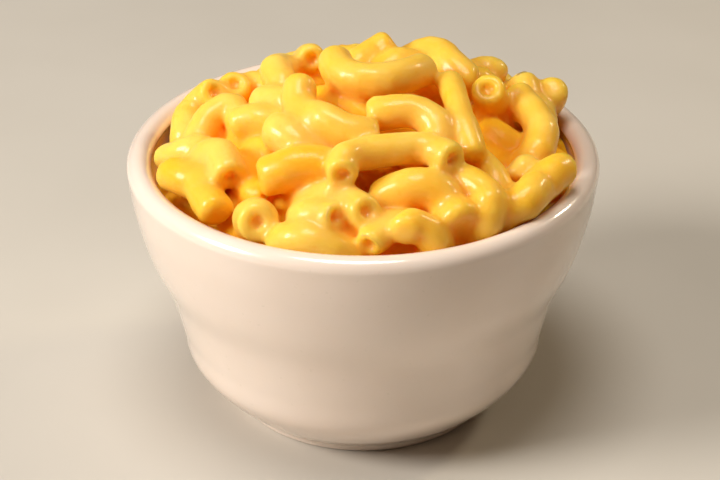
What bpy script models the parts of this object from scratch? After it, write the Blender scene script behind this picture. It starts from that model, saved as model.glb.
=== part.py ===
"""Macaroni and cheese in its bowl: a white china bouillon bowl, heaped with elbow macaroni.

Metres, +Z up. The origin is at the centre of the bowl's foot, on the surface that it stands on.
The bowl is one turned piece. The heap is one solid: it fills the bowl to the wall and rises over
the rim in a dome, and the dome's uneven outline is that of the elbows that lie on it.
"""

import math

import bmesh
import bpy
from mathutils import Vector

MM = 0.001

# ---- The bowl: driving sizes
RIM_RADIUS = 50.0 * MM
BOWL_HEIGHT = 58.5 * MM
LIP_RADIUS = 2.6 * MM  # the lip is a full round, twice this thick
WALL = 4.6 * MM
FLOOR_TOP = 8.0 * MM
FLOOR_CORNER = 6.0 * MM  # how far the bend from the floor to the wall reaches, in and up
FOOT_RADIUS = 28.8 * MM
FOOT_WIDTH = 4.2 * MM
FOOT_RECESS = 1.6 * MM
FOOT_EDGE = 0.7 * MM
# The outside between foot and lip, as (radius, height): belly, waist, flare, and upright to the lip.
OUTSIDE = [
    (29.5 * MM, 2 * MM),
    (34 * MM, 6 * MM),
    (38.5 * MM, 12 * MM),
    (40 * MM, 19 * MM),
    (42.5 * MM, 28.5 * MM),
    (46.5 * MM, 38 * MM),
    (49 * MM, 48 * MM),
    (RIM_RADIUS, BOWL_HEIGHT - LIP_RADIUS),
]
CURVE_STEPS = 2  # points for each stretch of the outside
TURN_STEPS = 56

# ---- The heap: driving sizes
GAP = 0.3 * MM  # between the heap and the wall, so that the two solids stay apart
DOME_TOP = 77.5 * MM
DOME_EDGE = 60.0 * MM
DOME_TILT = 3.5 * MM  # how much higher its edge is on the +X side
DOME_REACH = 45.0 * MM
LAYER_DEPTH = 6.0 * MM  # from the dome down to the packed layer between the topmost elbows
COAT = 0.5 * MM  # of cheese sauce, round each elbow
# The topmost elbows in millimetres: the radius, and the middle line as (x, y, lift), where lift is
# how far the elbow's top rises above the dome.
ELBOWS = [
    # the left side, from the back to the front
    (3.3, [(-31, 9, 3), (-34, 10, 3), (-37, 7, 2), (-38, 1, 0)]),
    (3.1, [(-35, -3, -1), (-32, 1, 0), (-28, 3, -0.5), (-26, -1, -3)]),
    (3.5, [(-28, 11, 1.5), (-27, 15, 0), (-23, 17, -2), (-19, 15, -4)]),
    (3.6, [(-17, 12, 0), (-18, 8, 0.5), (-17, 2, -0.5), (-15, -4, -4)]),
    (3.1, [(-22, 3, -1), (-17, -1, -2), (-13, -3, -4)]),
    (3.4, [(-27, -6, -0.5), (-23, -7, -0.5), (-19, -8, -2.5)]),
    (3.9, [(-19, -14, 1), (-14, -18, 0.5), (-9, -21, -1), (-6, -21, -5)]),
    (3.0, [(-42, -1, 0.5), (-37, -7, -0.5), (-33, -10, -2.5)]),
    (3.5, [(-35, -10, -1), (-31, -14, 1), (-28, -18, 1), (-26, -22, -2)]),
    (3.7, [(-39, -12, 0.5), (-37, -14, 1.5), (-34, -19, 1.5), (-31, -25, 1), (-29, -29, 0.5)]),
    (4.0, [(-21, -26, 1), (-16, -27, 1.5), (-9, -26, -0.5), (-6, -25, -4)]),
    (4.1, [(-20, -37, 0.5), (-21, -34, 0.5), (-22, -31, -2), (-21, -28, -6)]),
    # the middle
    (3.6, [(-13, -4, 0), (-13, -8, 0.5), (-11, -14, 0.5), (-7, -18, 0.5), (-2, -19, 0.5), (2, -18, -1)]),
    (3.1, [(-11, 13, 0.5), (-12, 17, 0), (-14, 21, -2)]),
    (3.7, [(-6, 6, 3), (-5, 0, 2.5), (-1, -4, 2.3), (5, -4, 2.3), (10, 0, 2.3), (13, 5, 2)]),
    (3.5, [(1, -13, -1), (6, -13, 0.5), (11, -13, 1), (15, -16, 0.5), (16, -20, -1.5)]),
    (3.3, [(-4, -33, 4), (-4, -29, 3), (0, -26, 1.5), (7, -24, 1), (13, -23, 1), (18, -27, 2)]),
    (3.3, [(1, -38, 0), (-3, -34, -1), (-7, -31, -2), (-11, -28, -4)]),
    (2.8, [(-5, -37, 0), (-10, -36, -1.5), (-12, -33, -3), (-12, -29, -5)]),
    (3.5, [(-18, -37, -1.5), (-15, -38, -0.5), (-11, -39, -0.5), (-7, -41, -1.5), (-4, -41, -4)]),
    (3.8, [(6, -31, -2), (10, -31, 0), (15, -32, 0), (18, -34, -2.5)]),
    (3.4, [(8, -42, 2.5), (9, -39, -0.5), (13, -39, -1), (16, -40, -1.5), (18, -40, -4)]),
    (2.9, [(1, -42, -1.5), (4, -38, -2.5), (8, -34, -5)]),
    # the right side, from the back to the front
    (3.5, [(0, 12, -1), (4, 15, 1), (7, 17, 1.5)]),
    (3.5, [(5, 13, -0.5), (9, 15, 0.5), (13, 15, -2)]),
    (3.7, [(11, 18, 0), (15, 16, 1.5), (19, 11, 1), (24, 6, 0)]),
    (2.8, [(18, 3, 0.5), (19, -6, 1), (20, -14, 1), (22, -20, 0)]),
    (3.6, [(26, 0, 3), (27, 4, -0.5), (28, 8, -4.5)]),
    (3.2, [(25, 19, 0), (28, 19, 1.5), (30, 18, 0.5)]),
    (3.0, [(33, 16, 2.5), (35, 13, 2.5), (38, 9, 0)]),
    (3.5, [(39, 9, 2.5), (40, 13, 1), (39, 17, -1)]),
    (3.5, [(31, 6, 0), (34, 3, 1), (36, -2, 1.5), (37, -7, 1), (36, -12, -0.5)]),
    (3.2, [(30, -19, -1), (34, -18, -1.5), (38, -15, -4)]),
    (3.7, [(41, -18, 1), (38, -20, 1.5), (35, -25, 1), (32, -29, 0), (30, -33, -2)]),
    (3.2, [(18, -25, -1), (22, -28, -0.5), (25, -31, 0.5), (25, -34, 0), (23, -37, -3)]),
    # the back
    (3.3, [(32, 25, -2.5), (28, 29, -1), (22, 32, -2)]),
    (3.5, [(20, 36, -1.5), (12, 39, -1), (5, 40, -1)]),
    (3.6, [(0, 36, 0), (-6, 39, 0), (-13, 37, -1.5)]),
    (3.3, [(-17, 34, -1.5), (-23, 33, -1.5), (-28, 28, -3)]),
    (3.4, [(-32, 25, -1), (-36, 20, -0.5), (-38, 13, -2)]),
    (3.5, [(22, 24, -1.5), (16, 27, -1), (13, 32, -2)]),
    (3.3, [(9, 23, -3), (5, 28, -1.5), (7, 34, -1)]),
    (3.6, [(1, 22, -2.5), (-4, 25, -1.5), (-5, 31, -1)]),
    (3.3, [(-10, 29, -1), (-16, 28, -0.5), (-21, 24, -2)]),
]
LINE_STEPS = 4  # points for each stretch of an elbow's middle line
CORE_STEPS = 12
TUBE_SIDES = 10
VOXEL = 1.2 * MM  # the grain of the fused body
SURFACE_SHARE = 0.058  # the share of its faces that is kept


def clear_scene():
    for obj in list(bpy.data.objects):
        bpy.data.objects.remove(obj)


def new_collection(name):
    collection = bpy.data.collections.new(name)
    bpy.context.scene.collection.children.link(collection)
    return collection


def material(name, colour, roughness):
    made = bpy.data.materials.new(name)
    made.use_nodes = True
    shader = made.node_tree.nodes["Principled BSDF"]
    shader.inputs["Base Color"].default_value = (*colour, 1.0)
    shader.inputs["Roughness"].default_value = roughness
    shader.inputs["Metallic"].default_value = 0.0
    return made


# ---- Outlines of turned pieces, as lists of (radius, height)


def smooth_line(stations, steps):
    """A Catmull-Rom curve through the stations, with that many points for each stretch."""
    points = [Vector(p) for p in stations]
    ends = [2 * points[0] - points[1], *points, 2 * points[-1] - points[-2]]
    line = []
    for a, b, c, d in zip(ends, ends[1:], ends[2:], ends[3:]):
        for i in range(steps):
            t = i / steps
            slope = (c - a) * t
            bow = (2 * a - 5 * b + 4 * c - d) * t**2
            turn = (3 * b - a - 3 * c + d) * t**3
            line.append(0.5 * (2 * b + slope + bow + turn))
    return [*line, points[-1]]


def arc(centre, radius, start, end, steps):
    """Points of an arc about the centre, from the start angle to the end angle in degrees."""
    angles = [math.radians(start + (end - start) * i / steps) for i in range(steps + 1)]
    return [Vector(centre) + radius * Vector((math.cos(a), math.sin(a))) for a in angles]


def inside_wall(clearance=0.0):
    """The inside from the middle of the floor up to the lip, moved into the bowl by the clearance."""
    outside = smooth_line(OUTSIDE, CURVE_STEPS)
    level = FLOOR_TOP + clearance
    wall = []
    for before, point, after in zip(outside, outside[1:], outside[2:]):
        along = (after - before).normalized()
        moved = point + (WALL + clearance) * Vector((-along.y, along.x))
        if level + FLOOR_CORNER < moved.y < BOWL_HEIGHT - LIP_RADIUS:
            wall.append(moved)
    floor_end = Vector((wall[0].x - FLOOR_CORNER, level))
    corner = Vector((wall[0].x, level))
    bend = []
    for t in (0.0, 0.33, 0.67):
        bend.append(floor_end.lerp(corner, t).lerp(corner.lerp(wall[0], t), t))
    return [Vector((0.0, level)), *bend, *wall]


def bowl_outline():
    """The whole outline: from the floor's middle up the inside, over the lip, and down to the foot."""
    lip = arc((RIM_RADIUS - LIP_RADIUS, BOWL_HEIGHT - LIP_RADIUS), LIP_RADIUS, 180, 0, 8)
    foot_inside = FOOT_RADIUS - FOOT_WIDTH
    foot = [
        *arc((FOOT_RADIUS - FOOT_EDGE, FOOT_EDGE), FOOT_EDGE, 0, -90, 2),
        Vector((foot_inside + FOOT_EDGE, 0.0)),
        Vector((foot_inside, FOOT_EDGE)),
        Vector((foot_inside - FOOT_EDGE, FOOT_RECESS)),
        Vector((0.0, FOOT_RECESS)),
    ]
    outside = list(reversed(smooth_line(OUTSIDE, CURVE_STEPS)[:-1]))
    return [*inside_wall(), *lip, *outside, *foot]


def envelope_outline():
    """The room that the heap may fill: the bowl's inside, and the space straight above it."""
    mouth = RIM_RADIUS - 2 * LIP_RADIUS - GAP
    over = 2.0 * BOWL_HEIGHT
    under = BOWL_HEIGHT - 2 * LIP_RADIUS
    wall = [p for p in inside_wall(GAP) if p.y < under]
    return [Vector((0.0, over)), Vector((mouth, over)), Vector((mouth, under)), *reversed(wall)]


def turned(name, outline, collection):
    """A solid of revolution, from an outline that starts and ends on the axis."""
    mesh = bpy.data.meshes.new(name)
    edges = [(i, i + 1) for i in range(len(outline) - 1)]
    mesh.from_pydata([(p.x, 0.0, p.y) for p in outline], edges, [])
    obj = bpy.data.objects.new(name, mesh)
    collection.objects.link(obj)
    screw = obj.modifiers.new("turn", "SCREW")
    screw.steps = TURN_STEPS
    screw.render_steps = TURN_STEPS
    screw.use_merge_vertices = True
    screw.merge_threshold = 0.00001
    screw.use_smooth_shade = True
    return obj


# ---- The heap


def dome_level(x, y):
    """The level of the dome, which the topmost elbows lie on."""
    out = min(1.1, math.hypot(x, y) / DOME_REACH)
    edge = DOME_EDGE + DOME_TILT * max(-1.0, min(1.0, x / DOME_REACH))
    return edge + (DOME_TOP - edge) * (1.0 - out**2)


def elbow_line(radius, stations):
    """Points along the middle of an elbow, drawn in where it would run into the wall."""
    reach = RIM_RADIUS - 2 * LIP_RADIUS - GAP - COAT - radius
    points = []
    for x, y, lift in stations:
        place = Vector((x, y)) * MM
        place *= min(1.0, reach / place.length)
        level = dome_level(place.x, place.y) + lift * MM
        points.append((place.x, place.y, level - radius))
    return smooth_line(points, LINE_STEPS)


def core_outline():
    """The packed layer as a turned body. It reaches past the wall, and the envelope trims it."""
    reach = RIM_RADIUS
    top = [Vector((reach * i / CORE_STEPS, DOME_EDGE)) for i in range(CORE_STEPS + 1)]
    return [*top, Vector((reach, 0.0)), Vector((0.0, 0.0))]


def raise_core(mesh):
    """Lifts the top of the packed layer to its level under the dome."""
    for vert in mesh.verts:
        if vert.co.z > 0.0:
            vert.co.z = dome_level(vert.co.x, vert.co.y) - LAYER_DEPTH


def add_tube(mesh, radius, line):
    """A closed tube round a bent line, added to the mesh."""
    rings = []
    for i, point in enumerate(line):
        along = (line[min(i + 1, len(line) - 1)] - line[max(i - 1, 0)]).normalized()
        side = along.cross(Vector((0.0, 0.0, 1.0))).normalized()
        upper = side.cross(along)
        ring = []
        for k in range(TUBE_SIDES):
            angle = 2.0 * math.pi * k / TUBE_SIDES
            ring.append(mesh.verts.new(point + radius * (math.cos(angle) * side + math.sin(angle) * upper)))
        rings.append(ring)
    for near, far in zip(rings, rings[1:]):
        for k in range(TUBE_SIDES):
            mesh.faces.new((near[k - 1], near[k], far[k], far[k - 1]))
    mesh.faces.new(rings[0])
    mesh.faces.new(reversed(rings[-1]))


def evaluated_mesh(obj):
    """The mesh of an object with its modifiers applied."""
    graph = bpy.context.evaluated_depsgraph_get()
    return bpy.data.meshes.new_from_object(obj.evaluated_get(graph))


def keep_outer_shell(mesh):
    """Removes the closed hollows between the elbows, which leaves the largest shell."""
    shells = bmesh.new()
    shells.from_mesh(mesh)
    left = set(shells.verts)
    largest = []
    while left:
        shell = [left.pop()]
        for vert in shell:
            for edge in vert.link_edges:
                other = edge.other_vert(vert)
                if other in left:
                    left.remove(other)
                    shell.append(other)
        largest = max(largest, shell, key=len)
    kept = set(largest)
    bmesh.ops.delete(shells, geom=[v for v in shells.verts if v not in kept], context="VERTS")
    shells.to_mesh(mesh)
    shells.free()


def macaroni_heap(parts, cutters):
    """The packed layer and the elbows on it, fused into one body and trimmed to the bowl's inside."""
    core = turned("heap_core", core_outline(), cutters)
    envelope = turned("heap_envelope", envelope_outline(), cutters)
    for helper in (core, envelope):
        helper.hide_render = True
        helper.display_type = "WIRE"
    mesh = evaluated_mesh(core)
    body = bmesh.new()
    body.from_mesh(mesh)
    raise_core(body)
    for radius, stations in ELBOWS:
        add_tube(body, radius * MM + COAT, elbow_line(radius * MM, stations))
    bmesh.ops.recalc_face_normals(body, faces=body.faces)
    body.to_mesh(mesh)
    body.free()
    heap = bpy.data.objects.new("macaroni_heap", mesh)
    parts.objects.link(heap)
    fuse = heap.modifiers.new("fuse", "REMESH")
    fuse.mode = "VOXEL"
    fuse.voxel_size = VOXEL
    heap.data = evaluated_mesh(heap)
    heap.modifiers.remove(fuse)
    keep_outer_shell(heap.data)
    soften = heap.modifiers.new("soften", "SMOOTH")
    soften.iterations = 2
    lighten = heap.modifiers.new("lighten", "DECIMATE")
    lighten.ratio = SURFACE_SHARE
    trim = heap.modifiers.new("trim", "BOOLEAN")
    trim.operation = "INTERSECT"
    trim.object = envelope
    return heap


def main():
    clear_scene()
    parts = new_collection("macaroni_and_cheese")
    cutters = new_collection("cutters")
    bowl = turned("bowl", bowl_outline(), parts)
    bowl.data.materials.append(material("glazed_china", (0.86, 0.80, 0.72), 0.18))
    heap = macaroni_heap(parts, cutters)
    heap.data.materials.append(material("cheese_macaroni", (0.95, 0.60, 0.15), 0.3))


main()
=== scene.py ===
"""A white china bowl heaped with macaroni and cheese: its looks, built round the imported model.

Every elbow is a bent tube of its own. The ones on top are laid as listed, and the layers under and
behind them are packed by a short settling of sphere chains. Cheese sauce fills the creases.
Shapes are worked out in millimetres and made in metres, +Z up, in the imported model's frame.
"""

import math
import random

import bmesh
import bpy
import numpy as np
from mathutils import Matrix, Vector


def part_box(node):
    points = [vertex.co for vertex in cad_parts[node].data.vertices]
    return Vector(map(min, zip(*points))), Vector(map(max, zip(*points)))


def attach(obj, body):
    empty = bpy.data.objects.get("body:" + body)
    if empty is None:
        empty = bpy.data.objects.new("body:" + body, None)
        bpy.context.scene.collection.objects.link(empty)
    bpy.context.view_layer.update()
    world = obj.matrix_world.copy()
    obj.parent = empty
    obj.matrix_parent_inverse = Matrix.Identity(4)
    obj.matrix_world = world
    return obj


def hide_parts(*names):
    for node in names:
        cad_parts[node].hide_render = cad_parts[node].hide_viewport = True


MM = 0.001

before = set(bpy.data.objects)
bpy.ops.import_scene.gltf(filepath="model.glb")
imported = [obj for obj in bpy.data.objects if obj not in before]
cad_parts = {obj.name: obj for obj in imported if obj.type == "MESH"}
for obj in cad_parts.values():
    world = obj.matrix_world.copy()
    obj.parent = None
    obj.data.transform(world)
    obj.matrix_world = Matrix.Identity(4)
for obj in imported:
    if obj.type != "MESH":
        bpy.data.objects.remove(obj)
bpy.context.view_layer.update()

# ---- The bowl, in millimetres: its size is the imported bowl's, its wall and foot are as modelled there
_, bowl_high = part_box("bowl")
RIM_RADIUS = bowl_high.x / MM
BOWL_HEIGHT = bowl_high.z / MM
LIP_RADIUS = 2.6
WALL = 4.6
FLOOR_TOP = 8.0
FLOOR_CORNER = 6.0
FOOT_RADIUS = 28.8
FOOT_WIDTH = 4.2
FOOT_RECESS = 1.6
FOOT_EDGE = 0.7
# The outside between foot and lip, as (radius, height): belly, waist, flare, and upright to the lip.
OUTSIDE = [
    (29.5, 2),
    (34, 6),
    (38.5, 12),
    (40, 19),
    (42.5, 28.5),
    (46.5, 38),
    (49, 48),
    (RIM_RADIUS, BOWL_HEIGHT - LIP_RADIUS),
]
CURVE_STEPS = 10  # points to each stretch of the outside
TURN_STEPS = 192  # around the bowl
LIP_STEPS = 24
EDGE_STEPS = 6  # of the foot ring's rounded edges
CORNER_STEPS = 8  # where the floor bends up into the wall
LIP_CENTRE = (RIM_RADIUS - LIP_RADIUS, BOWL_HEIGHT - LIP_RADIUS)
MOUTH = RIM_RADIUS - 2 * LIP_RADIUS

# ---- The heap: a dome over the bowl, which the topmost elbows lie on
DOME_TOP = 77.5
DOME_REACH = 45.0  # from the axis to its edge
DOME_EDGE = 60.0  # how high the edge is
DOME_TILT = 3.5  # how much higher it is on the +X side
DOME_END = 1.1  # times its reach: from there outwards it falls no further
CORE_DEPTH = 9.0  # from the dome down to where everything is filled with sauce

# ---- Elbows
ELBOW_LENGTH = 27.0
BORE_RADIUS = 1.35
BORE_DEPTH = 1.6
SIDES = 24  # around an elbow
WALL_RINGS = 15  # in its even middle
END_LENGTH = 2.4  # from its end to there
LINE_STEPS = 60  # points along it, for its mesh
OPEN_CUT = 1  # how many of them are left off, so that the end lies under the sauce
CLOSED_CUT = 3  # the same at an end that is filled or sunk
MOST_SLANT = 0.06  # of a cut end, as a share of the radius
SLANT_REACH = 5.0
SEED = 7

# Laying the topmost elbows
LAID_STEPS = 12  # points to each stretch between two stations
MOST_SUNK = 7.0  # how much of a laid elbow is added at its sunk end
SUNK_STEP = 0.5
SUNK_BEND = 5.0  # the radius that it turns down in
SUNK_LEAN = 0.02  # how far down leans inwards, for each millimetre from the axis
SUNK_TURNED = 0.15  # it goes straight on once it is this near to down

# Settling: elbows are chains of points, which are pushed apart and keep their shapes
LAID_CHAIN = 13  # points in a laid elbow's chain
LAID_ROUNDS = 40
LAID_SHARE = 0.3  # of an overlap, pushed out in one round
LAID_HOLD = np.array([0.30, 0.10, 0.14])  # how firmly a laid elbow keeps its place, along X, Y and Z
CHAIN = 9  # points in a loose elbow's chain
FIXED_CHAIN = 16  # points in a laid elbow's, once it lies still
LOOSE_ROUNDS = 60
LOOSE_SHARE = 0.45
LOOSE_PULL = 0.12  # of the way to its own level, in one round
NEAR_LOOSE = 30.0  # how far off another elbow's middle, or a fixed point, is left out
NEAR_FIXED = 20.0
SQUEEZE = 0.3  # how far two elbows may sink into each other
MOST_PUSH = 1.2  # in one round
WALL_GAP = 0.4  # between an elbow and the wall
STRIDES = (1, 2, 4)  # steps between the points whose distances are kept
STIFF_ROUNDS = 3
STIFFNESS = 0.4
CHAIN_STEPS = 4  # points to each stretch of a settled chain

# Loose elbows: the ranges that they are drawn from, in millimetres and degrees
LOOSE_RADII = (3.2, 3.8)
LOOSE_TILTS = (-22.0, 22.0)
LOOSE_ROLLS = (-40.0, 40.0)
LOOSE_BENDS = (9.5, 13.0)
LOOSE_ANGLES = (115.0, 150.0)
LOOSE_TONES = (0.3, 1.0)
ARC_MIDDLE = 0.7  # of its bend radius, from an arc's own centre out to the middle of its bulk
# Two layers, as (depth under the dome, spacing, least Y): one at the back, and one beneath everything
PACKED_LAYERS = [(4.0, 9.0, 18.0), (7.5, 10.0, -MOUTH)]
LAYER_TRIES = 4000
LAYER_MARGIN = 6.0  # from the wall to the nearest elbow's middle
MOST_RISE = 3.0  # above its level, for a loose elbow that is kept

# Sauce
CELL = 0.6  # of its grid
BLEND = 0.7  # how softly it runs from one elbow to the next
COAT = 0.35  # how thick it lies on an elbow
REACH = 2.0  # how far from an elbow its coat is worked out
DEEPEST = -6.0  # distances are kept between these two
FARTHEST = 9.0
FREE_DEPTH = 1.15  # how far in an open bore stays free of sauce
BORE_BLEND = 0.5  # how softly the bore runs into the cut end
RIM_ROUND = 1.1  # the rounding of the cut edge at an open end
CAP_ROUND = 2.0  # the same at an end that is filled or sunk
CAP_LENGTH = 6.0  # how much of an elbow its end may shape, and how far beside it
CAP_MARGIN = 3.0
SKIN_ROUNDS = 2  # of softening, for the skin and for the tones on it
TONE_ROUNDS = 5
ROD_STEPS = 12  # straight rods that make up an elbow in the grid
SWELL = 0.025  # of its radius, where it is thickest
SWELL_PACE = 0.9  # from one rod to the next, in radians
CHINA_GAP = 0.15  # between the sauce and the bowl
SIDE_MARGIN = 3.0  # of the grid, beyond the mouth and over the dome
TOP_MARGIN = 5.0
SAUCE_FLOOR = 46.0
CORE_TONE = 0.9
CORE_WAVES = (0.8, 9.0, 3)  # unevenness of the sauce between the elbows, as (height, size, seed)
SKIN_WAVES = (0.05, 3.2, 5)  # and of its skin
WAVE_COUNT = 6
WAVE_TURN = 6.3  # about a full turn, in radians

# The core, hidden under the sauce
CORE_TOP = SAUCE_FLOOR + 2.0
CORE_GAP = 0.35  # between it and the bowl

# The topmost elbows, listed one by one: outer radius, tone from 0 for pale to 1 for deep, two ends, and
# the middle line as (x, y, lift), where lift is how far the elbow's top rises above the dome.
# An end is "o" open, "f" filled with sauce, or "s" sunk into the heap.
LAID = [
    # the left side, from the back to the front
    (3.3, 0.4, "os", [(-31, 9, 3), (-34, 10, 3), (-37, 7, 2), (-38, 1, 0)]),
    (3.1, 0.2, "ss", [(-35, -3, -1), (-32, 1, 0), (-28, 3, -0.5), (-26, -1, -3)]),
    (3.5, 0.6, "os", [(-28, 11, 1.5), (-27, 15, 0), (-23, 17, -2), (-19, 15, -4)]),
    (3.6, 0.2, "ss", [(-17, 12, 0), (-18, 8, 0.5), (-17, 2, -0.5), (-15, -4, -4)]),
    (3.1, 0.2, "fs", [(-22, 3, -1), (-17, -1, -2), (-13, -3, -4)]),
    (3.4, 0.3, "fs", [(-27, -6, -0.5), (-23, -7, -0.5), (-19, -8, -2.5)]),
    (3.9, 0.2, "fs", [(-19, -14, 1), (-14, -18, 0.5), (-9, -21, -1), (-6, -21, -5)]),
    (3.0, 0.1, "fs", [(-42, -1, 0.5), (-37, -7, -0.5), (-33, -10, -2.5)]),
    (3.5, 0.2, "so", [(-35, -10, -1), (-31, -14, 1), (-28, -18, 1), (-26, -22, -2)]),
    (3.7, 0.8, "ff", [(-39, -12, 0.5), (-37, -14, 1.5), (-34, -19, 1.5), (-31, -25, 1), (-29, -29, 0.5)]),
    (4.0, 0.9, "fs", [(-21, -26, 1), (-16, -27, 1.5), (-9, -26, -0.5), (-6, -25, -4)]),
    (3.4, 0.8, "ss", [(-26, -15, -4), (-24, -19, -3.5), (-22, -23, -4.5)]),
    (4.1, 0.3, "os", [(-20, -37, 0.5), (-21, -34, 0.5), (-22, -31, -2), (-21, -28, -6)]),
    # the middle
    (3.6, 0.5, "ss", [(-13, -4, 0), (-13, -8, 0.5), (-11, -14, 0.5),
                      (-7, -18, 0.5), (-2, -19, 0.5), (2, -18, -1)]),
    (3.1, 0.6, "os", [(-11, 13, 0.5), (-12, 17, 0), (-14, 21, -2)]),
    (3.7, 0.5, "ff", [(-6, 6, 3), (-5, 0, 2.5), (-1, -4, 2.3), (5, -4, 2.3), (10, 0, 2.3), (13, 5, 2)]),
    (3.3, 0.9, "ss", [(-8, 1, -5), (-5, -3, -4.5), (-1, -6, -5)]),
    (3.5, 0.4, "fs", [(1, -13, -1), (6, -13, 0.5), (11, -13, 1), (15, -16, 0.5), (16, -20, -1.5)]),
    (3.3, 0.4, "oo", [(-4, -33, 4), (-4, -29, 3), (0, -26, 1.5), (7, -24, 1), (13, -23, 1), (18, -27, 2)]),
    (3.3, 0.4, "os", [(1, -38, 0), (-3, -34, -1), (-7, -31, -2), (-11, -28, -4)]),
    (2.8, 0.3, "os", [(-5, -37, 0), (-10, -36, -1.5), (-12, -33, -3), (-12, -29, -5)]),
    (3.5, 0.5, "fs", [(-18, -37, -1.5), (-15, -38, -0.5), (-11, -39, -0.5), (-7, -41, -1.5), (-4, -41, -4)]),
    (3.8, 0.6, "ss", [(6, -31, -2), (10, -31, 0), (15, -32, 0), (18, -34, -2.5)]),
    (3.4, 0.6, "fs", [(8, -42, 2.5), (9, -39, -0.5), (13, -39, -1), (16, -40, -1.5), (18, -40, -4)]),
    (2.9, 0.6, "os", [(1, -42, -1.5), (4, -38, -2.5), (8, -34, -5)]),
    (3.3, 0.9, "ss", [(22, -32, -5.5), (22, -35, -5.5), (21, -37, -6)]),
    # the right side, from the back to the front
    (3.5, 0.6, "sf", [(0, 12, -1), (4, 15, 1), (7, 17, 1.5)]),
    (3.5, 0.7, "ss", [(5, 13, -0.5), (9, 15, 0.5), (13, 15, -2)]),
    (3.7, 0.6, "sf", [(11, 18, 0), (15, 16, 1.5), (19, 11, 1), (24, 6, 0)]),
    (2.8, 0.7, "fs", [(18, 3, 0.5), (19, -6, 1), (20, -14, 1), (22, -20, 0)]),
    (3.6, 0.7, "os", [(26, 0, 3), (27, 4, -0.5), (28, 8, -4.5)]),
    (3.2, 0.6, "sf", [(25, 19, 0), (28, 19, 1.5), (30, 18, 0.5)]),
    (3.2, 0.8, "ss", [(22, 14, -2), (25, 13, -2), (27, 9, -4)]),
    (3.0, 0.5, "fs", [(33, 16, 2.5), (35, 13, 2.5), (38, 9, 0)]),
    (3.5, 0.7, "fs", [(39, 9, 2.5), (40, 13, 1), (39, 17, -1)]),
    (3.5, 0.6, "fs", [(31, 6, 0), (34, 3, 1), (36, -2, 1.5), (37, -7, 1), (36, -12, -0.5)]),
    (3.4, 1.0, "ss", [(28, -4, -5.5), (31, -6, -5.5), (35, -7, -6.5)]),
    (3.2, 0.3, "fs", [(30, -19, -1), (34, -18, -1.5), (38, -15, -4)]),
    (3.7, 0.8, "fs", [(41, -18, 1), (38, -20, 1.5), (35, -25, 1), (32, -29, 0), (30, -33, -2)]),
    (3.2, 0.6, "fs", [(18, -25, -1), (22, -28, -0.5), (25, -31, 0.5), (25, -34, 0), (23, -37, -3)]),
    (2.7, 0.7, "ss", [(23, -17, -4), (26, -21, -3.5), (28, -26, -4)]),
    (3.3, 0.8, "ss", [(27, -24, -6), (27, -28, -6), (26, -32, -6)]),
    # the back
    (3.3, 0.5, "os", [(32, 25, -2.5), (28, 29, -1), (22, 32, -2)]),
    (3.5, 0.7, "so", [(20, 36, -1.5), (12, 39, -1), (5, 40, -1)]),
    (3.6, 0.4, "os", [(0, 36, 0), (-6, 39, 0), (-13, 37, -1.5)]),
    (3.3, 0.8, "fs", [(-17, 34, -1.5), (-23, 33, -1.5), (-28, 28, -3)]),
    (3.4, 0.3, "ss", [(-32, 25, -1), (-36, 20, -0.5), (-38, 13, -2)]),
    (3.5, 0.6, "os", [(22, 24, -1.5), (16, 27, -1), (13, 32, -2)]),
    (3.3, 0.4, "sf", [(9, 23, -3), (5, 28, -1.5), (7, 34, -1)]),
    (3.6, 0.8, "so", [(1, 22, -2.5), (-4, 25, -1.5), (-5, 31, -1)]),
    (3.3, 0.5, "fs", [(-10, 29, -1), (-16, 28, -0.5), (-21, 24, -2)]),
]


def clamp(value, low, high):
    return max(low, min(high, value))


def dome(x, y):
    """The level of the dome over a place, for numbers or arrays."""
    out = np.minimum(np.hypot(x, y) / DOME_REACH, DOME_END)
    edge = DOME_EDGE + DOME_TILT * np.clip(x / DOME_REACH, -1.0, 1.0)
    return edge + (DOME_TOP - edge) * (1.0 - out**2)


# ---- Lines in space, as arrays with a point in each row


def unit(vectors):
    return vectors / np.sqrt((vectors**2).sum(-1, keepdims=True))


def catmull_rom(stations, steps):
    """A smooth curve through the stations, with that many points for each stretch."""
    points = np.array(stations, float)
    ends = np.vstack([2 * points[0] - points[1], points, 2 * points[-1] - points[-2]])
    line = []
    for a, b, c, d in zip(ends, ends[1:], ends[2:], ends[3:]):
        for t in np.arange(steps) / steps:
            slope = (c - a) * t
            bow = (2 * a - 5 * b + 4 * c - d) * t**2
            turn = (3 * b - a - 3 * c + d) * t**3
            line.append(0.5 * (2 * b + slope + bow + turn))
    line.append(points[-1])
    return np.array(line)


def distances_along(line):
    steps = np.sqrt((np.diff(line, axis=0) ** 2).sum(1))
    return np.concatenate([[0.0], np.cumsum(steps)])


def spaced(line, count):
    """The line again, with that many points at even distances."""
    along = distances_along(line)
    wanted = np.linspace(0.0, along[-1], count)
    return np.stack([np.interp(wanted, along, line[:, k]) for k in range(3)], 1)


def sunk(line, length):
    """The line, carried on at its end: it turns down and towards the bowl's middle."""
    points = list(line)
    along = unit(points[-1] - points[-4])
    down = unit(np.array([-SUNK_LEAN * points[-1][0], -SUNK_LEAN * points[-1][1], -1.0]))
    angle = SUNK_STEP / SUNK_BEND
    for _ in range(int(length / SUNK_STEP)):
        side = np.cross(along, down)
        if np.sqrt((side**2).sum()) > SUNK_TURNED:
            along = unit(along * math.cos(angle) + np.cross(unit(side), along) * math.sin(angle))
        points.append(points[-1] + along * SUNK_STEP)
    return np.array(points)


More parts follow.
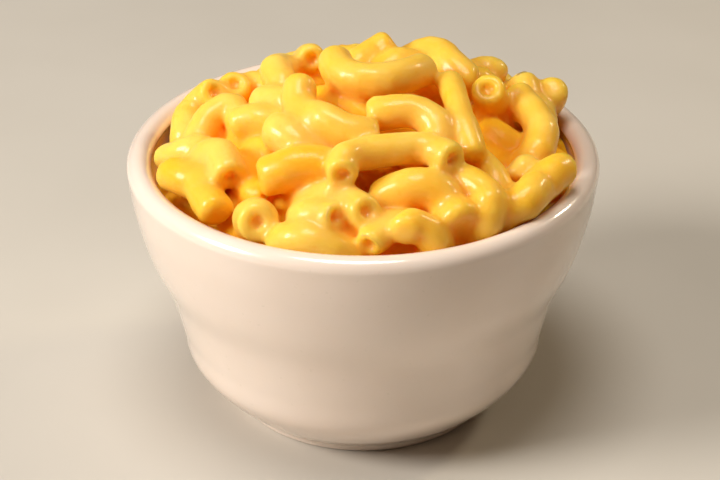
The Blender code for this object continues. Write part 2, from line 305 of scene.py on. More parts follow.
def laid_elbows():
    """The elbows on top, each with its middle line, its radius, its two ends and its tone."""
    elbows = []
    for radius, tone, ends, stations in LAID:
        points = [(x, y, float(dome(x, y)) - radius + lift) for x, y, lift in stations]
        line = catmull_rom(points, LAID_STEPS)
        missing = clamp(ELBOW_LENGTH - distances_along(line)[-1], 0.0, MOST_SUNK)
        share = missing / max(ends.count("s"), 1)
        if ends[1] == "s":
            line = sunk(line, share)
        if ends[0] == "s":
            line = sunk(line[::-1], share)[::-1]
        elbows.append({"line": line, "radius": radius, "ends": ends, "tone": tone})
    nestled(elbows)
    return elbows


def nestled(elbows):
    """Pushes the laid elbows apart where they run into each other, while each keeps near its place."""
    homes = [spaced(e["line"], LAID_CHAIN) for e in elbows]
    spans = [spans_of(home, STRIDES) for home in homes]
    radii = [e["radius"] for e in elbows]
    chains = list(homes)
    for _ in range(LAID_ROUNDS):
        for i, chain in enumerate(chains):
            others = np.vstack([c for j, c in enumerate(chains) if j != i])
            reach = np.repeat([r for j, r in enumerate(radii) if j != i], LAID_CHAIN) + radii[i] - SQUEEZE
            chain = chain + pushed(chain, others, reach, LAID_SHARE)
            chain = chain + LAID_HOLD * (homes[i] - chain)
            chains[i] = kept_in_bowl(stiffened(chain, spans[i]), radii[i])
    for elbow, chain in zip(elbows, chains):
        elbow["line"] = catmull_rom(chain, CHAIN_STEPS)


def pushed(chain, others, reach, share):
    """The moves by which a chain's points give way, for a share, to others within their reach."""
    apart = chain[:, None] - others[None]
    gap = np.maximum(np.sqrt((apart**2).sum(2)), 1e-3)
    push = np.maximum(reach[None] - gap, 0.0) / gap
    moved = share * (apart * push[:, :, None]).sum(1)
    size = np.maximum(np.sqrt((moved**2).sum(1, keepdims=True)), 1e-6)
    return moved * np.minimum(size, MOST_PUSH) / size


# ---- Packing the layers under and behind the laid ones


def arc_line(centre, heading, tilt, roll, bend_radius, angle):
    """An elbow's middle line: an arc with its bulk about the centre, turned into place."""
    turns = np.linspace(-angle / 2, angle / 2, CHAIN)
    flat = np.stack([bend_radius * np.sin(turns), bend_radius * (np.cos(turns) - ARC_MIDDLE), 0 * turns], 1)
    cr, sr = math.cos(roll), math.sin(roll)
    ct, st = math.cos(tilt), math.sin(tilt)
    ch, sh = math.cos(heading), math.sin(heading)
    x, y, z = flat.T
    y, z = y * cr - z * sr, y * sr + z * cr
    x, z = x * ct + z * st, -x * st + z * ct
    x, y = x * ch - y * sh, x * sh + y * ch
    return np.stack([x, y, z], 1) + centre


def kept_in_bowl(points, radius):
    """Moves points of a middle line off the wall and off the lip."""
    x, y, z = points.T
    out = np.maximum(np.hypot(x, y), 1e-6)
    wall = np.minimum(out, MOUTH - WALL_GAP - radius)
    inward = np.where(z < LIP_CENTRE[1], wall / out, 1.0)
    from_lip = np.stack([out - LIP_CENTRE[0], z - LIP_CENTRE[1]], 1)
    gap = np.maximum(np.sqrt((from_lip**2).sum(1)), 1e-6)
    push = np.maximum(LIP_RADIUS + radius - gap, 0.0) * (z >= LIP_CENTRE[1]) / gap
    moved = inward + push * from_lip[:, 0] / out
    return np.stack([x * moved, y * moved, z + push * from_lip[:, 1]], 1)


def settle(fixed, loose):
    """Pushes the loose elbows apart and off the fixed ones, and draws them to their level."""
    still = np.vstack([spaced(e["line"], FIXED_CHAIN) for e in fixed])
    still_radius = np.repeat([e["radius"] for e in fixed], FIXED_CHAIN)
    chains = [e["line"] for e in loose]
    radii = [e["radius"] for e in loose]
    for _ in range(LOOSE_ROUNDS):
        for i, chain in enumerate(chains):
            centre = chain.mean(0)
            others = [
                j
                for j, other in enumerate(chains)
                if j != i and ((other[CHAIN // 2] - centre) ** 2).sum() < NEAR_LOOSE**2
            ]
            near = ((still - centre) ** 2).sum(1) < NEAR_FIXED**2
            points = np.vstack([still[near]] + [chains[j] for j in others])
            reach = np.concatenate([still_radius[near]] + [np.full(CHAIN, radii[j]) for j in others])
            chain = chain + pushed(chain, points, reach + radii[i] - SQUEEZE, LOOSE_SHARE)
            level = dome(chain[:, 0], chain[:, 1]) - radii[i] - loose[i]["depth"]
            chain = chain + np.stack([0 * level, 0 * level, LOOSE_PULL * (level - chain[:, 2])], 1)
            chain = stiffened(chain, loose[i]["spans"])
            chains[i] = kept_in_bowl(chain, radii[i])
    for elbow, chain in zip(loose, chains):
        elbow["line"] = catmull_rom(chain, CHAIN_STEPS)


def spans_of(line, strides):
    """The distances that an elbow keeps between its points: (steps apart, distances)."""
    return [(k, np.sqrt(((line[k:] - line[:-k]) ** 2).sum(1))) for k in strides]


def stiffened(chain, spans):
    """The chain, with its own distances nearly restored."""
    for _ in range(STIFF_ROUNDS):
        for k, wanted in spans:
            between = chain[k:] - chain[:-k]
            gap = np.maximum(np.sqrt((between**2).sum(1)), 1e-6)
            half = STIFFNESS * between * ((gap - wanted) / gap)[:, None]
            moved = np.zeros_like(chain)
            moved[:-k] += half
            moved[k:] -= half
            chain = chain + moved * (0.5 if k in STRIDES else 1.0)
    return chain


def loose_elbow(x, y, depth, chance):
    """A loose elbow over a place, drawn at random, before it settles."""
    radius = chance.uniform(*LOOSE_RADII)
    centre = np.array([x, y, float(dome(x, y)) - radius - depth])
    line = arc_line(
        centre,
        chance.uniform(0.0, 2.0 * math.pi),
        math.radians(chance.uniform(*LOOSE_TILTS)),
        math.radians(chance.uniform(*LOOSE_ROLLS)),
        chance.uniform(*LOOSE_BENDS),
        math.radians(chance.uniform(*LOOSE_ANGLES)),
    )
    ends = "".join(chance.choice("oof") for _ in range(2))
    spans = spans_of(line, (*STRIDES, CHAIN - 1))
    tone = chance.uniform(*LOOSE_TONES)
    return {"line": line, "radius": radius, "ends": ends, "depth": depth, "spans": spans, "tone": tone}


def packed_elbows(fixed):
    """The loose elbows of each layer, settled round the laid ones."""
    chance = random.Random(SEED)
    loose = []
    for depth, spacing, least_y in PACKED_LAYERS:
        spots = []
        for _ in range(LAYER_TRIES):
            x = chance.uniform(-MOUTH, MOUTH)
            y = chance.uniform(least_y, MOUTH)
            if math.hypot(x, y) > MOUTH - LAYER_MARGIN:
                continue
            if all(math.hypot(x - a, y - b) > spacing for a, b in spots):
                spots.append((x, y))
        loose += [loose_elbow(x, y, depth, chance) for x, y in spots]
    settle(fixed, loose)
    return [elbow for elbow in loose if lies_low(elbow)]


def lies_low(elbow):
    """Whether a loose elbow found room at its level, and wasn't squeezed up on top of others."""
    line = elbow["line"]
    level = dome(line[:, 0], line[:, 1]) - elbow["radius"] - elbow["depth"]
    return (line[:, 2] - level).max() < MOST_RISE


# ---- Meshes


def placed(name, data):
    """A new object in the scene."""
    obj = bpy.data.objects.new(name, data)
    bpy.context.scene.collection.objects.link(obj)
    return obj


def new_object(name, points, faces):
    """A smooth-shaded object from points in millimetres."""
    mesh = bpy.data.meshes.new(name)
    mesh.from_pydata((np.asarray(points) * MM).tolist(), [], faces)
    outward = bmesh.new()
    outward.from_mesh(mesh)
    bmesh.ops.recalc_face_normals(outward, faces=outward.faces)
    outward.to_mesh(mesh)
    outward.free()
    mesh.shade_smooth()
    return placed(name, mesh)


def ring_faces(count, sides):
    """Faces between rings of points, and fans at both ends, about the two points after the rings."""
    faces = []
    for i in range(count - 1):
        low, high = i * sides, (i + 1) * sides
        for k in range(sides):
            n = (k + 1) % sides
            faces.append((low + k, low + n, high + n, high + k))
    first, last = count * sides, count * sides + 1
    for k in range(sides):
        n = (k + 1) % sides
        faces.append((first, n, k))
        faces.append((last, (count - 1) * sides + k, (count - 1) * sides + n))
    return faces


def frames_along(line):
    """The tangent and two square directions at each point, carried along without twist."""
    ahead = np.vstack([line[1:], line[-1:]])
    behind = np.vstack([line[:1], line[:-1]])
    tangents = unit(ahead - behind)
    steep = np.array([0.3, 0.2, 0.93])  # a way that elbows seldom run
    start = np.cross(tangents[0], steep)
    side = unit(start if (start**2).sum() > 0.01 else np.array([1.0, 0.0, 0.0]))
    sides = []
    for tangent in tangents:
        side = unit(side - tangent * (side * tangent).sum())
        sides.append(side)
    sides = np.array(sides)
    return tangents, sides, np.cross(tangents, sides)


def ring_plan(length, radius, bore):
    """The rings of one elbow, as (distance along, radius): bore, cut, wall, cut, bore."""
    # Up out of the bore, over the rounded cut, and on to the wall
    end = [
        (BORE_DEPTH, 0.6 * bore),
        (0.6 * BORE_DEPTH, 0.9 * bore),
        (0.9, bore),
        (0.3, bore + 0.25),
        (0.02, bore + 0.75),
        (0.1, radius - 0.95),
        (0.42, radius - 0.4),
        (0.95, radius - 0.08),
        (1.6, radius),
    ]
    margin = END_LENGTH / length
    wall = [(length * t, radius) for t in np.linspace(margin, 1.0 - margin, WALL_RINGS)]
    other_end = [(length - s, r) for s, r in reversed(end)]
    return np.array(end + wall + other_end)


def elbow_mesh(elbow, chance):
    """Points and faces of one elbow: an uneven tube with a blind bore at each cut end."""
    cut = [OPEN_CUT if kind == "o" else CLOSED_CUT for kind in elbow["ends"]]
    line = spaced(elbow["line"], LINE_STEPS)[cut[0] : -cut[1]]
    length = distances_along(line)[-1]
    radius = elbow["radius"] - COAT
    plan = ring_plan(length, radius, BORE_RADIUS + COAT)
    place = plan[:, 0] / length * (len(line) - 1)
    tangents, sides, ups = frames_along(line)

    def at(values):
        return np.stack([np.interp(place, np.arange(len(line)), values[:, k]) for k in range(3)], 1)

    centres, tangents, sides, ups = at(line), unit(at(tangents)), at(sides), at(ups)
    around = 2.0 * math.pi * np.arange(SIDES) / SIDES
    along = plan[:, 0][:, None]
    phases = [chance.uniform(0.0, 2.0 * math.pi) for _ in range(8)]
    # Its unevenness, as shares of the radius
    wave = 0.012 * np.sin(2 * around + phases[0] + 0.12 * along)
    wave = wave + 0.008 * np.sin(3 * around + phases[1] - 0.35 * along)
    wave = wave + 0.010 * np.sin(0.55 * along + phases[2]) * np.cos(around + phases[3])
    wave = wave + 0.006 * np.sin(1.3 * along + phases[4] + around)
    wave = wave + 0.004 * np.sin(5 * around + phases[5]) * np.sin(1.9 * along + phases[6])
    rings = plan[:, 1][:, None] * (1.0 + wave)
    offset = np.cos(around)[None, :, None] * sides[:, None] + np.sin(around)[None, :, None] * ups[:, None]
    slants = [chance.uniform(-MOST_SLANT, MOST_SLANT) for _ in range(4)]
    near_start = np.clip(1.0 - along / SLANT_REACH, 0.0, 1.0)
    near_end = np.clip(1.0 - (length - along) / SLANT_REACH, 0.0, 1.0)
    slant = near_start * (slants[0] * np.cos(around) + slants[1] * np.sin(around))
    slant = slant + near_end * (slants[2] * np.cos(around) + slants[3] * np.sin(around))
    points = centres[:, None] + offset * rings[:, :, None] + tangents[:, None] * (slant * rings)[:, :, None]
    points = np.vstack([points.reshape(-1, 3), centres[:1], centres[-1:]])
    return points, ring_faces(len(plan), SIDES)


def macaroni(elbows):
    """All the elbows as one mesh, each with its own tone."""
    chance = random.Random(SEED + 1)
    points, faces, tones = [], [], []
    total = 0
    for elbow in elbows:
        mesh_points, mesh_faces = elbow_mesh(elbow, chance)
        points.append(mesh_points)
        faces += [tuple(v + total for v in face) for face in mesh_faces]
        tones.append(np.full(len(mesh_points), elbow["tone"]))
        total += len(mesh_points)
    obj = new_object("elbow_macaroni", np.vstack(points), faces)
    keep_values(obj, "tone", np.concatenate(tones))
    return obj


def keep_values(obj, name, values):
    """Stores a number for each of the mesh's points, for its material to read."""
    made = obj.data.attributes.new(name, "FLOAT", "POINT")
    made.data.foreach_set("value", values.astype(np.float32))


# ---- The sauce: a skin drawn round all the elbows together, so that it fills their creases


def waves(x, y, z, height, size, seed):
    """Smooth unevenness, up or down by about the height, with bumps of that size."""
    chance = random.Random(seed)
    total = 0.0
    for _ in range(WAVE_COUNT):
        a, b, c = (chance.uniform(-1.0, 1.0) for _ in range(3))
        phase = chance.uniform(0.0, WAVE_TURN)
        total = total + np.sin((a * x + b * y + c * z) * WAVE_TURN / size + phase)
    return height * (total / (WAVE_COUNT / 2))


def smooth_union(a, b, blend):
    """Two shapes' distances as those of one shape, with a fillet of that width between them."""
    mixed = np.clip(0.5 + 0.5 * (b - a) / blend, 0.0, 1.0)
    return b + (a - b) * mixed - blend * mixed * (1.0 - mixed)


def cells_near(axis, middle, reach):
    """Which places on a grid's axis are within reach of the middle."""
    return np.nonzero(np.abs(axis.ravel() - middle) < reach)[0]


def elbow_field(elbow, phase, x, y, z):
    """The distance to an elbow in its coat of sauce: a bent rod with rounded ends and bores."""
    line = spaced(elbow["line"], ROD_STEPS + 1)
    swell = 1.0 + SWELL * np.sin(phase + SWELL_PACE * np.arange(ROD_STEPS + 1))
    field = np.full(np.broadcast_shapes(x.shape, y.shape, z.shape), FARTHEST)
    for i in range(ROD_STEPS):
        a, along = line[i], line[i + 1] - line[i]
        near = [
            cells_near(axis, a[k] + 0.5 * along[k], 0.5 * abs(along[k]) + elbow["radius"] + REACH)
            for k, axis in enumerate((x, y, z))
        ]
        if min(len(n) for n in near) == 0:
            continue
        part = tuple(slice(n[0], n[-1] + 1) for n in near)
        px, py, pz = x[part[0]] - a[0], y[:, part[1]] - a[1], z[:, :, part[2]] - a[2]
        share = np.clip((px * along[0] + py * along[1] + pz * along[2]) / (along**2).sum(), 0.0, 1.0)
        gap = (px - share * along[0]) ** 2 + (py - share * along[1]) ** 2 + (pz - share * along[2]) ** 2
        thick = elbow["radius"] * (swell[i] + share * (swell[i + 1] - swell[i]))
        field[part] = np.minimum(field[part], np.sqrt(gap) - thick)
    for kind, end, inner in ((elbow["ends"][0], line[0], line[1]), (elbow["ends"][1], line[-1], line[-2])):
        out = unit(end - inner)
        px, py, pz = x - end[0], y - end[1], z - end[2]
        beyond = px * out[0] + py * out[1] + pz * out[2]
        from_axis = np.sqrt(np.maximum(px**2 + py**2 + pz**2 - beyond**2, 0.0))
        near = (from_axis < elbow["radius"] + CAP_MARGIN) & (beyond > -CAP_LENGTH)
        bend = RIM_ROUND if kind == "o" else CAP_ROUND
        over = np.maximum(field + bend, 0.0), np.maximum(beyond + bend, 0.0)
        rounded = np.hypot(*over) + np.minimum(np.maximum(field, beyond) + bend, 0.0) - bend
        field = np.where(near, rounded, field)
        if kind == "o":
            bore = np.maximum(from_axis - BORE_RADIUS, -beyond - FREE_DEPTH)
            field = np.where(near, -smooth_union(-field, bore, BORE_BLEND), field)
    return field


def sauce_field(elbows):
    """A grid's distances to the sauce's skin, negative inside it, and the nearest elbows' tones."""
    side = MOUTH + SIDE_MARGIN
    low = np.array([-side, -side, SAUCE_FLOOR])
    high = np.array([side, side, DOME_TOP + TOP_MARGIN])
    shape = np.ceil((high - low) / CELL).astype(int) + 1
    axes = [low[k] + CELL * np.arange(shape[k]) for k in range(3)]
    x, y, z = (axes[0][:, None, None], axes[1][None, :, None], axes[2][None, None, :])
    core = z - (dome(x, y) - CORE_DEPTH + waves(x, y, z, *CORE_WAVES))
    crowd = np.exp(-np.clip(core, DEEPEST, FARTHEST) / BLEND)
    nearest = core.copy()
    tones = np.full(crowd.shape, CORE_TONE)
    chance = random.Random(SEED + 2)
    for elbow in elbows:
        phase = chance.uniform(0.0, WAVE_TURN)
        line = elbow["line"]
        first = np.maximum(((line.min(0) - elbow["radius"] - REACH - low) / CELL).astype(int), 0)
        last = np.minimum(((line.max(0) + elbow["radius"] + REACH - low) / CELL).astype(int) + 2, shape)
        if (last <= first).any():
            continue
        box = tuple(slice(first[k], last[k]) for k in range(3))
        field = elbow_field(elbow, phase, x[box[0]], y[:, box[1]], z[:, :, box[2]])
        crowd[box] += np.exp(-np.clip(field, DEEPEST, FARTHEST) / BLEND)
        closer = field < nearest[box]
        nearest[box] = np.where(closer, field, nearest[box])
        tones[box] = np.where(closer, elbow["tone"], tones[box])
    skin = -BLEND * np.log(crowd) + waves(x, y, z, *SKIN_WAVES)
    out = np.hypot(x, y)
    lip = LIP_RADIUS + CHINA_GAP - np.hypot(out - LIP_CENTRE[0], z - LIP_CENTRE[1])
    skin = np.maximum(skin, lip)
    skin = np.maximum(skin, np.where(z < LIP_CENTRE[1], out - MOUTH + CHINA_GAP, -FARTHEST))
    for edge in (skin[0], skin[-1], skin[:, 0], skin[:, -1], skin[:, :, 0], skin[:, :, -1]):
        edge[...] = 1.0
    return skin, tones, low


def surface_net(field, low, cell):
    """The surface where a field is zero, as points and four-sided faces, one point a cell."""
    inside = field < 0.0
    shape = np.array(field.shape)
    totals = np.zeros((*(shape - 1), 3))
    counts = np.zeros(tuple(shape - 1))
    corner_sets = []
    for axis in range(3):
        near = [slice(None)] * 3
        far = [slice(None)] * 3
        near[axis], far[axis] = slice(0, -1), slice(1, None)
        a, b = field[tuple(near)], field[tuple(far)]
        crossed = inside[tuple(near)] != inside[tuple(far)]
        where = np.argwhere(crossed)
        va, vb = a[crossed], b[crossed]
        spot = where.astype(float)
        spot[:, axis] += va / (va - vb)
        others = [k for k in range(3) if k != axis]
        for du in (0, 1):
            for dv in (0, 1):
                index = where.copy()
                index[:, others[0]] -= du
                index[:, others[1]] -= dv
                ok = ((index >= 0) & (index < shape - 1)).all(1)
                flat = np.ravel_multi_index(index[ok].T, tuple(shape - 1))
                for k in range(3):
                    totals[..., k] += np.bincount(flat, spot[ok][:, k], counts.size).reshape(counts.shape)
                counts += np.bincount(flat, minlength=counts.size).reshape(counts.shape)
        corner_sets.append((axis, others, where, inside[tuple(near)][crossed]))
    used = counts > 0
    numbers = np.full(counts.shape, -1)
    numbers[used] = np.arange(used.sum())
    points = low + cell * totals[used] / counts[used][:, None]
    faces = []
    for axis, others, where, starts_inside in corner_sets:
        ok = ((where[:, others] > 0) & (where[:, others] < shape[others] - 1)).all(1)
        where, starts_inside = where[ok], starts_inside[ok]
        corners = []
        for du, dv in ((0, 0), (1, 0), (1, 1), (0, 1)):
            index = where.copy()
            index[:, others[0]] -= du
            index[:, others[1]] -= dv
            corners.append(numbers[tuple(index.T)])
        quads = np.stack(corners, 1)
        turn = starts_inside if axis != 1 else ~starts_inside
        quads[~turn] = quads[~turn][:, ::-1]
        faces.append(quads)
    return points, np.vstack(faces)


def softened(rows, faces, rounds):
    """Each point's row of values, moved towards the mean of its neighbours' rows."""
    pairs = np.vstack([faces[:, [k, (k + 1) % 4]] for k in range(4)])
    pairs = np.vstack([pairs, pairs[:, ::-1]])
    count = np.maximum(np.bincount(pairs[:, 0], minlength=len(rows)), 1)
    for _ in range(rounds):
        total = [np.bincount(pairs[:, 0], column[pairs[:, 1]], len(rows)) for column in rows.T]
        rows = 0.5 * rows + 0.5 * np.stack(total, 1) / count[:, None]
    return rows


def cheese_sauce(elbows):
    """The sauce's skin. Its points carry their tones and how deep under the dome they lie."""
    field, tones, low = sauce_field(elbows)
    points, faces = surface_net(field, low, CELL)
    spots = np.round((points - low) / CELL).astype(int)
    tone = softened(tones[tuple(spots.T)][:, None], faces, TONE_ROUNDS)[:, 0]
    points = softened(points, faces, SKIN_ROUNDS)
    sauce = new_object("cheese_sauce", points, faces.tolist())
    depth = dome(points[:, 0], points[:, 1]) - points[:, 2]
    keep_values(sauce, "tone", tone)
    keep_values(sauce, "depth", depth)
    return sauce


# ---- Turned pieces


def arc(centre, radius, start, end, steps):
    """Points of an arc about the centre, from the start angle to the end angle in degrees."""
    angles = np.radians(np.linspace(start, end, steps + 1))
    return np.stack([centre[0] + radius * np.cos(angles), centre[1] + radius * np.sin(angles)], 1)


def bowl_inside(clearance=0.0):
    """The inside from the middle of the floor up to the lip, moved inwards by the clearance."""
    outside = catmull_rom(OUTSIDE, CURVE_STEPS)
    along = unit(outside[2:] - outside[:-2])
    moved = outside[1:-1] + (WALL + clearance) * np.stack([-along[:, 1], along[:, 0]], 1)
    level = FLOOR_TOP + clearance
    wall = moved[(moved[:, 1] > level + FLOOR_CORNER) & (moved[:, 1] < BOWL_HEIGHT - LIP_RADIUS)]
    floor_end = np.array([wall[0, 0] - FLOOR_CORNER, level])
    corner = np.array([wall[0, 0], level])
    t = np.linspace(0.0, 1.0, CORNER_STEPS + 1)[:-1, None]
    bend = (1 - t) ** 2 * floor_end + 2 * t * (1 - t) * corner + t**2 * wall[0]
    return np.vstack([[(0.0, level)], bend, wall])


def bowl_outline():
    """From the floor's middle up the inside, over the lip, down the outside and to the foot."""
    foot_inside = FOOT_RADIUS - FOOT_WIDTH
    return np.vstack([
        bowl_inside(),
        arc(LIP_CENTRE, LIP_RADIUS, 180, 0, LIP_STEPS),
        catmull_rom(OUTSIDE, CURVE_STEPS)[::-1][1:],
        arc((FOOT_RADIUS - FOOT_EDGE, FOOT_EDGE), FOOT_EDGE, 0, -90, EDGE_STEPS),
        arc((foot_inside + FOOT_EDGE, FOOT_EDGE), FOOT_EDGE, -90, -180, EDGE_STEPS),
        [(foot_inside - FOOT_EDGE, FOOT_RECESS), (0.0, FOOT_RECESS)],
    ])


def turned(name, outline):
    """A closed mesh from an outline that starts and ends on the axis."""
    angles = 2.0 * math.pi * np.arange(TURN_STEPS) / TURN_STEPS
    inner = outline[1:-1]
    rings = np.stack([
        inner[:, :1] * np.cos(angles),
        inner[:, :1] * np.sin(angles),
        np.repeat(inner[:, 1:], TURN_STEPS, 1),
    ], 2)
    points = np.vstack([rings.reshape(-1, 3), [(0, 0, outline[0, 1])], [(0, 0, outline[-1, 1])]])
    return new_object(name, points, ring_faces(len(inner), TURN_STEPS))


def packed_core():
    """The heap's hidden inside: it fills the bowl to the wall, and ends within the sauce."""
    bevel = np.array([0.3, 0.5])  # of its upper edge
    wall = bowl_inside(CORE_GAP)
    wall = wall[wall[:, 1] < CORE_TOP - bevel[1]]
    top = [(wall[-1, 0] - bevel[0], CORE_TOP), (0.0, CORE_TOP)]
    return turned("packed_core", np.vstack([wall, top]))


# ---- Materials

PALE_CHEESE = (0.98, 0.60, 0.12)
GOLDEN_CHEESE = (0.97, 0.475, 0.025)
# deep orange cheese: the colour of the specks, and of the painted shade in the creases
DEEP_CHEESE_AND_CREASE_SHADE = (0.95, 0.40, 0.01)
CREASE_SHADE_DEPTHS = (3.0, 10.0)  # the depths between which painted crease shade deepens the colour, partly also the deeper colour of pooled sauce
DULLED = (1.5, 6.0)  # the depths between which the shine falls off
COAT_SHINE = (0.3, 0.04)  # at those two depths
SPECULAR_SHINE = (0.22, 0.06)
IVORY_SHADE = (0.88, 0.73, 0.62)
IVORY = (0.91, 0.77, 0.67)
IVORY_SPECK = (0.70, 0.60, 0.46)
FLOOR_SHADE = (0.57, 0.53, 0.47)
FLOOR_COLOUR = (0.60, 0.56, 0.50)


def new_material(name, roughness, subsurface, coat):
    """A Principled material and its node tree. Values that are the same all over are set on the shader."""
    made = bpy.data.materials.new(name)
    made.use_nodes = True
    shader = made.node_tree.nodes["Principled BSDF"]
    shader.inputs["Roughness"].default_value = roughness
    shader.inputs["Subsurface Weight"].default_value = subsurface
    shader.inputs["Coat Weight"].default_value = coat
    return made, made.node_tree, shader


def noise(tree, size, detail, distortion=0.0):
    """A noise with features of about that size in millimetres, over the object's own space."""
    place = tree.nodes.new("ShaderNodeTexCoord")
    made = tree.nodes.new("ShaderNodeTexNoise")
    made.inputs["Scale"].default_value = 1.0 / (size * MM)
    made.inputs["Detail"].default_value = detail
    made.inputs["Distortion"].default_value = distortion
    tree.links.new(place.outputs["Object"], made.inputs["Vector"])
    return made.outputs["Fac"]


def spread(tree, value, low, high, to_low=0.0, to_high=1.0):
    """The value, moved from one range to another and kept inside it."""
    made = tree.nodes.new("ShaderNodeMapRange")
    made.inputs["From Min"].default_value = low
    made.inputs["From Max"].default_value = high
    made.inputs["To Min"].default_value = to_low
    made.inputs["To Max"].default_value = to_high
    tree.links.new(value, made.inputs["Value"])
    return made.outputs["Result"]


def combine(tree, operation, a, b):
    """A sum on two values, each a number or another node's output."""
    made = tree.nodes.new("ShaderNodeMath")
    made.operation = operation
    for socket, value in zip(made.inputs, (a, b)):
        if isinstance(value, (int, float)):
            socket.default_value = value
        else:
            tree.links.new(value, socket)
    return made.outputs["Value"]


def blended(tree, share, first, second):
    """A colour between two, each a triple or another node's colour."""
    made = tree.nodes.new("ShaderNodeMix")
    made.data_type = "RGBA"
    tree.links.new(share, made.inputs["Factor"])
    for socket, colour in ((made.inputs[6], first), (made.inputs[7], second)):
        if isinstance(colour, tuple):
            socket.default_value = (*colour, 1.0)
        else:
            tree.links.new(colour, socket)
    return made.outputs[2]


def bumps(tree, shader, height, strength, depth):
    """Fine unevenness from a height between 0 and 1, with a depth in millimetres."""
    made = tree.nodes.new("ShaderNodeBump")
    made.inputs["Strength"].default_value = strength
    made.inputs["Distance"].default_value = depth * MM
    tree.links.new(height, made.inputs["Height"])
    tree.links.new(made.outputs["Normal"], shader.inputs["Normal"])


def stored(tree, name):
    """The numbers that the mesh's points carry under that name."""
    made = tree.nodes.new("ShaderNodeAttribute")
    made.attribute_name = name
    return made.outputs["Fac"]


def cheesy(name, with_depth):
    """Cheese sauce over pasta: each elbow pale or golden by its tone, and painted shade that deepens the
    colour down in the creases, where the sauce also pools thicker.
    """
    made, tree, shader = new_material(name, roughness=0.42, subsurface=0.85, coat=0.3)
    patches = spread(tree, noise(tree, size=8.0, detail=3.0, distortion=0.6), 0.32, 0.7, -0.25, 0.25)
    share = spread(tree, combine(tree, "ADD", stored(tree, "tone"), patches), 0.0, 1.0)
    colour = blended(tree, share, PALE_CHEESE, GOLDEN_CHEESE)
    if with_depth:
        # painted shade: deeper under the dome the colour turns deep orange, standing in for the shade in the
        # creases as well as for thicker sauce
        crease_shade = spread(tree, stored(tree, "depth"), *CREASE_SHADE_DEPTHS)
        colour = blended(tree, crease_shade, colour, DEEP_CHEESE_AND_CREASE_SHADE)
        shine = spread(tree, stored(tree, "depth"), *DULLED, *COAT_SHINE)
        tree.links.new(shine, shader.inputs["Coat Weight"])
        sheen = spread(tree, stored(tree, "depth"), *DULLED, *SPECULAR_SHINE)
        tree.links.new(sheen, shader.inputs["Specular IOR Level"])
    specks = spread(tree, noise(tree, size=1.6, detail=2.0), 0.62, 0.78, 0.0, 0.25)
    colour = blended(tree, specks, colour, DEEP_CHEESE_AND_CREASE_SHADE)
    tree.links.new(colour, shader.inputs["Base Color"])
    shader.inputs["Subsurface Radius"].default_value = (1.0, 0.8, 0.3)
    shader.inputs["Subsurface Scale"].default_value = 7.0 * MM
    shader.inputs["Coat Roughness"].default_value = 0.14
    coarse = noise(tree, size=2.6, detail=2.0)
    fine = combine(tree, "MULTIPLY", noise(tree, size=0.8, detail=2.0), 0.35)
    bumps(tree, shader, combine(tree, "ADD", coarse, fine), strength=0.35, depth=0.35)
    return made


def china_material():
    """Ivory glaze: a faint cloudiness in the colour, and the slight unevenness of a fired surface."""
    made, tree, shader = new_material("ivory_glaze", roughness=0.2, subsurface=0.15, coat=0.8)
    cloud = spread(tree, noise(tree, size=26.0, detail=3.0), 0.3, 0.7)
    speck = spread(tree, noise(tree, size=1.1, detail=1.0), 0.72, 0.8, 0.0, 0.25)
    colour = blended(tree, cloud, IVORY_SHADE, IVORY)
    colour = blended(tree, speck, colour, IVORY_SPECK)
    tree.links.new(colour, shader.inputs["Base Color"])
    shader.inputs["Subsurface Radius"].default_value = (1.0, 0.8, 0.6)
    shader.inputs["Subsurface Scale"].default_value = 1.0 * MM
    shader.inputs["Coat Roughness"].default_value = 0.05
    bumps(tree, shader, noise(tree, size=7.0, detail=2.0), strength=0.12, depth=0.25)
    return made


def floor_material():
    made, tree, shader = new_material("pale_floor", roughness=0.6, subsurface=0.0, coat=0.0)
    cloud = spread(tree, noise(tree, size=60.0, detail=2.0), 0.3, 0.7)
    tree.links.new(blended(tree, cloud, FLOOR_SHADE, FLOOR_COLOUR), shader.inputs["Base Color"])
    return made


# ---- Studio, in metres

FLOOR_HALF = 4.0
NEUTRAL_LIGHT = (1.0, 0.96, 0.90)
WARM_LIGHT = (1.0, 0.86, 0.62)
SURROUND_COLOUR = (1.0, 0.74, 0.52)
SURROUND_STRENGTH = 0.065
CAMERA_LENS = 103.6  # in millimetres, on a film 36 mm wide
CAMERA_FILM = 36.0
CAMERA_DISTANCE = 0.45
CAMERA_DOWN = 29.3  # degrees
CAMERA_AIM = (-0.00065, 0.0, 0.0357)


def soft_light(name, place, aim, size, energy, colour):
    """A round light that faces the aim."""
    light = bpy.data.lights.new(name, "AREA")
    light.shape = "DISK"
    light.size = size
    light.energy = energy
    light.color = colour
    obj = placed(name, light)
    obj.location = place
    obj.rotation_euler = (Vector(aim) - Vector(place)).to_track_quat("-Z", "Y").to_euler()


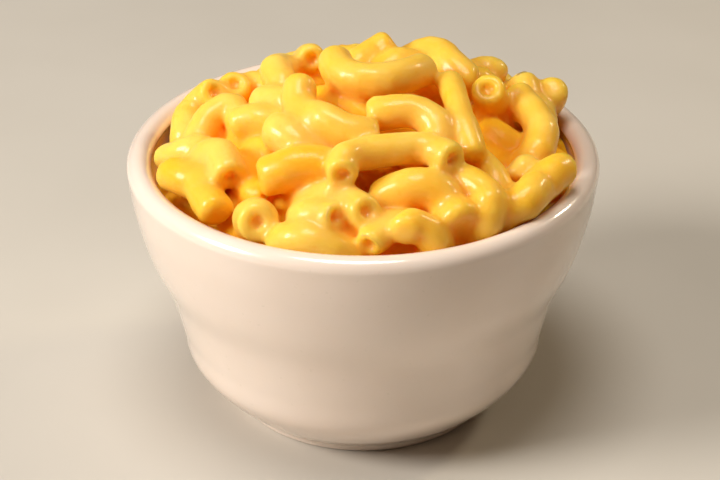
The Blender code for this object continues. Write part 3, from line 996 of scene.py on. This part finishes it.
def studio():
    """A pale floor, soft lights from the upper left and from above, and a weak warm one behind right."""
    floor = bpy.data.meshes.new("floor")
    corners = [(x * FLOOR_HALF, y * FLOOR_HALF, 0) for x, y in ((-1, -1), (1, -1), (1, 1), (-1, 1))]
    floor.from_pydata(corners, [], [(0, 1, 2, 3)])
    floor.materials.append(floor_material())
    ground = placed("floor", floor)
    aim = (0.0, 0.0, BOWL_HEIGHT * MM)
    soft_light("key", (-0.72, -0.26, 0.52), aim, size=0.34, energy=8.3, colour=NEUTRAL_LIGHT)
    soft_light("top", (-0.06, -0.10, 0.95), aim, size=0.45, energy=4.8, colour=NEUTRAL_LIGHT)
    soft_light("side", (0.50, 0.30, 0.45), aim, size=0.12, energy=1.0, colour=WARM_LIGHT)
    world = bpy.data.worlds.new("studio")
    world.use_nodes = True
    surround = world.node_tree.nodes["Background"]
    surround.inputs["Color"].default_value = (*SURROUND_COLOUR, 1.0)
    surround.inputs["Strength"].default_value = SURROUND_STRENGTH
    bpy.context.scene.world = world
    bpy.context.scene.view_settings.view_transform = "Standard"


def camera():
    """A long lens from the front, looking down at the bowl."""
    view = bpy.data.cameras.new("camera")
    view.lens = CAMERA_LENS
    view.sensor_width = CAMERA_FILM
    view.clip_start = 0.01
    obj = placed("camera", view)
    down = math.radians(CAMERA_DOWN)
    back = Vector((0.0, -math.cos(down), math.sin(down)))
    obj.location = Vector(CAMERA_AIM) + CAMERA_DISTANCE * back
    obj.rotation_euler = (math.pi / 2 - down, 0.0, 0.0)
    bpy.context.scene.camera = obj


# ---- The whole


laid = laid_elbows()
elbows = laid + packed_elbows(laid)
pasta = macaroni(elbows)
pasta.data.materials.append(cheesy("cheese_coated_macaroni", False))
sauce = cheese_sauce(elbows)
sauce.data.materials.append(cheesy("cheese_sauce", True))
core = packed_core()
core.data.materials.append(sauce.data.materials[0])
bowl = turned("china_bowl", bowl_outline())
bowl.data.materials.append(china_material())

for piece, slot in (
    (pasta, "cheese_macaroni"),
    (sauce, "cheese_macaroni"),
    (core, "cheese_macaroni"),
    (bowl, "glazed_china"),
):
    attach(piece, "root")
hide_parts("macaroni_heap")
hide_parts("bowl")

studio()
camera()
